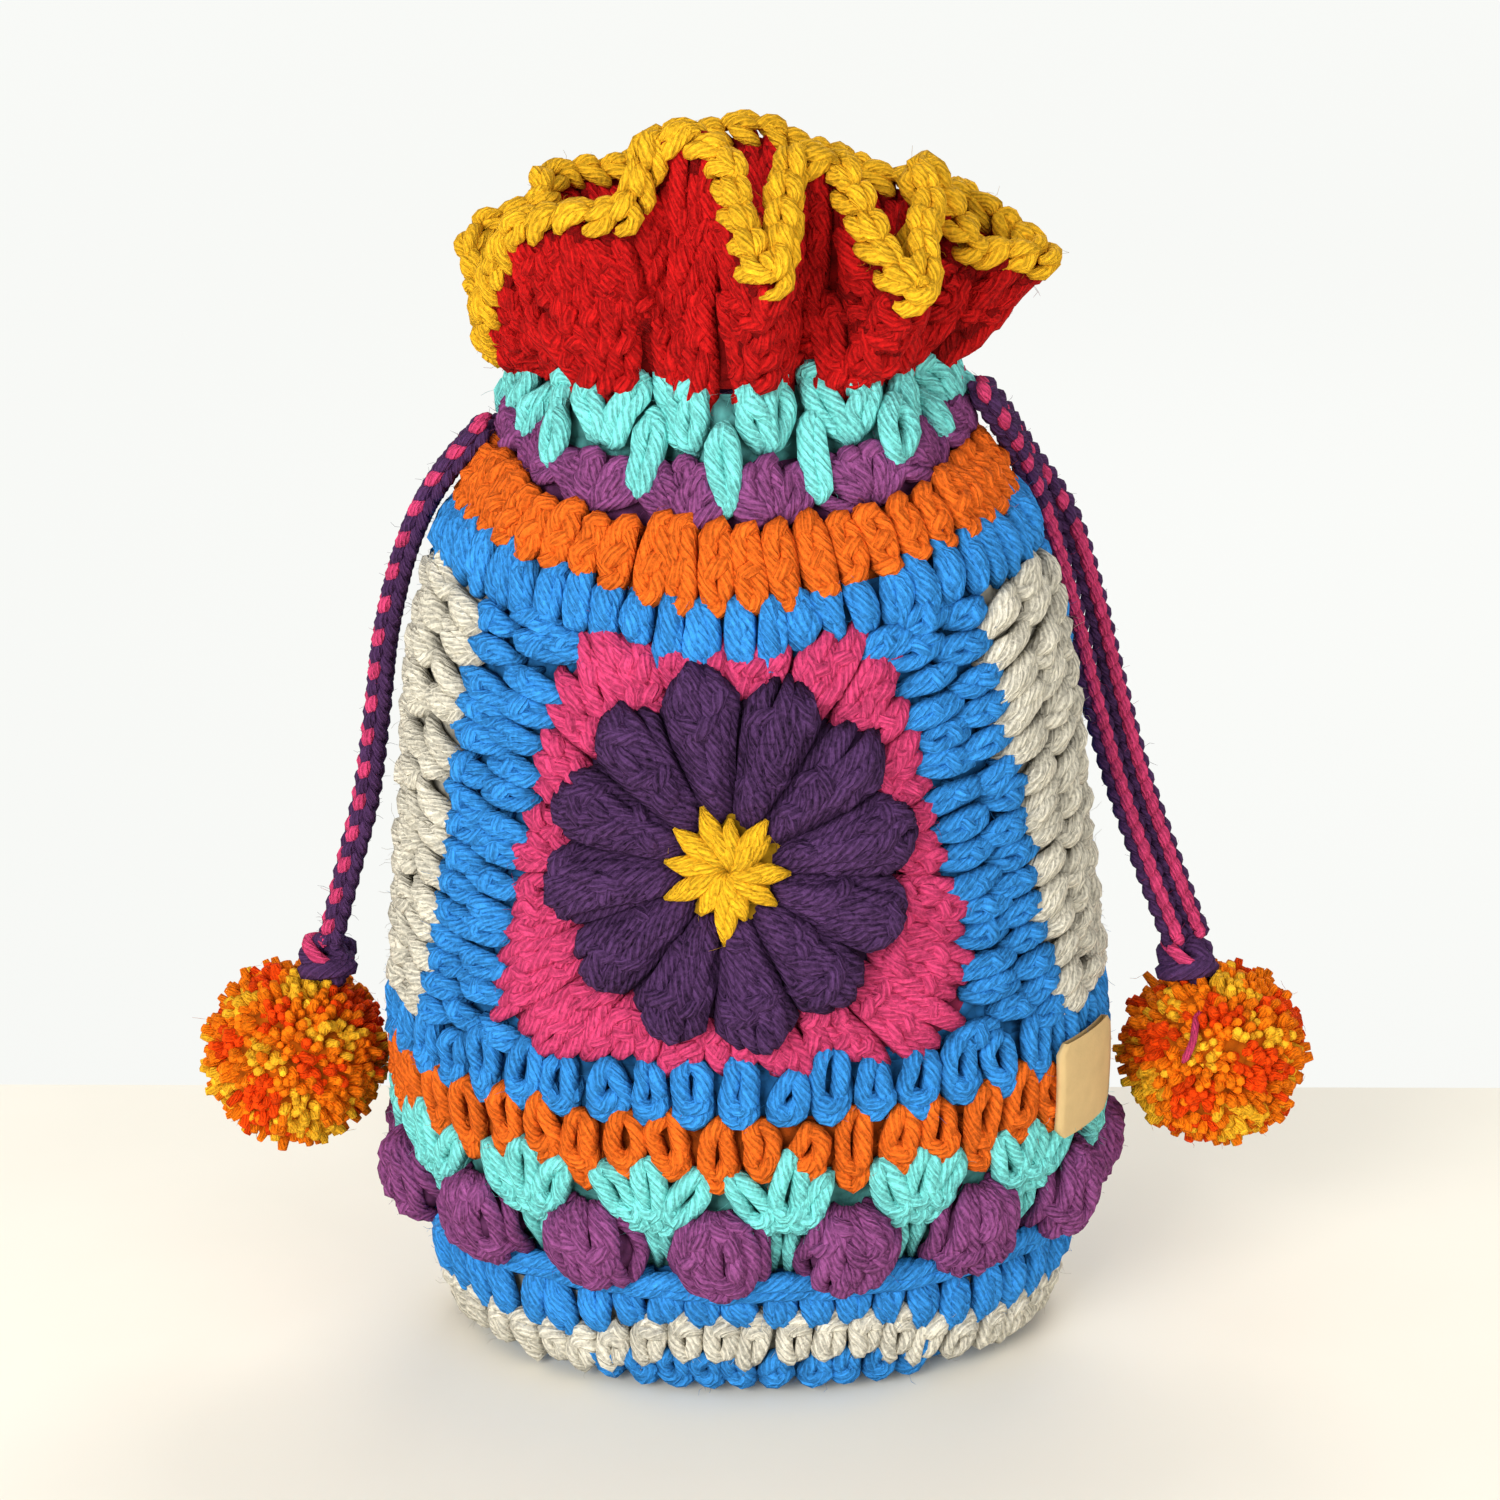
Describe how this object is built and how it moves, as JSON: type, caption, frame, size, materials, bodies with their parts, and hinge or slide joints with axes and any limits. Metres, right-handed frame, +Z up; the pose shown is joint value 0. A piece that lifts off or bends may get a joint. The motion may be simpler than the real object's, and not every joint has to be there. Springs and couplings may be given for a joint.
{
  "type": "drawstring pouch",
  "caption": "Crocheted drawstring pouch with coloured stitch rounds, flower squares, bobbles, a gathered neck, a ruffled collar and drawcords that end in pompoms.",
  "frame": {"origin": "middle of the base, on the surface that the pouch stands on", "axes": "+Z up, -Y out of the front with its flower square, +X to the right seen from the front"},
  "size_m": [0.2066, 0.1102, 0.2271],
  "materials": {
    "blue_yarn": "soft crocheted yarn",
    "cream_yarn": "soft crocheted yarn",
    "purple_yarn": "soft crocheted yarn",
    "turquoise_yarn": "soft crocheted yarn",
    "orange_yarn": "soft crocheted yarn",
    "pink_yarn": "soft crocheted yarn",
    "aubergine_yarn": "soft crocheted yarn",
    "yellow_yarn": "soft crocheted yarn",
    "red_yarn": "soft crocheted yarn",
    "marigold_yarn": "cut pompom yarn in mixed yellow, orange and red",
    "label_leather": "matt, bare"
  },
  "bodies": {
    "pouch": {"base_disc": "blue_yarn", "base_cream_round": "cream_yarn", "base_blue_round": "blue_yarn", "bobble_round": "purple_yarn", "lower_turquoise_round": "turquoise_yarn", "lower_orange_round": "orange_yarn", "lower_blue_round": "blue_yarn", "front_square_blue_rounds": "blue_yarn", "front_square_pink_round": "pink_yarn", "front_flower_petals": "aubergine_yarn", "front_flower_centre": "yellow_yarn", "back_square_blue_rounds": "blue_yarn", "back_square_pink_round": "pink_yarn", "back_flower_petals": "aubergine_yarn", "back_flower_centre": "yellow_yarn", "right_cream_join": "cream_yarn", "left_cream_join": "cream_yarn", "label": "label_leather", "upper_blue_round": "blue_yarn", "upper_orange_round": "orange_yarn", "upper_purple_round": "purple_yarn", "eyelet_round": "turquoise_yarn", "ruffle": "red_yarn", "ruffle_edging": "yellow_yarn", "left_cord_loop": "aubergine_yarn", "right_cord_loop": "aubergine_yarn"},
    "left_tassel": {"left_front_strand": "aubergine_yarn", "left_back_strand": "aubergine_yarn", "left_knot": "aubergine_yarn", "left_pompom": "marigold_yarn"},
    "right_tassel": {"right_front_strand": "aubergine_yarn", "right_back_strand": "aubergine_yarn", "right_knot": "aubergine_yarn", "right_pompom": "marigold_yarn"}
  },
  "joints": [
    {"name": "left_swing", "type": "hinge", "parent": "pouch", "child": "left_tassel", "pos_m": [-0.043, -0.00103, 0.1727], "axis": [0, 1, 0], "range_deg": [0, 75]},
    {"name": "right_swing", "type": "hinge", "parent": "pouch", "child": "right_tassel", "pos_m": [0.04207, 0.001, 0.1782], "axis": [0, -1, 0], "range_deg": [0, 75]}
  ]
}
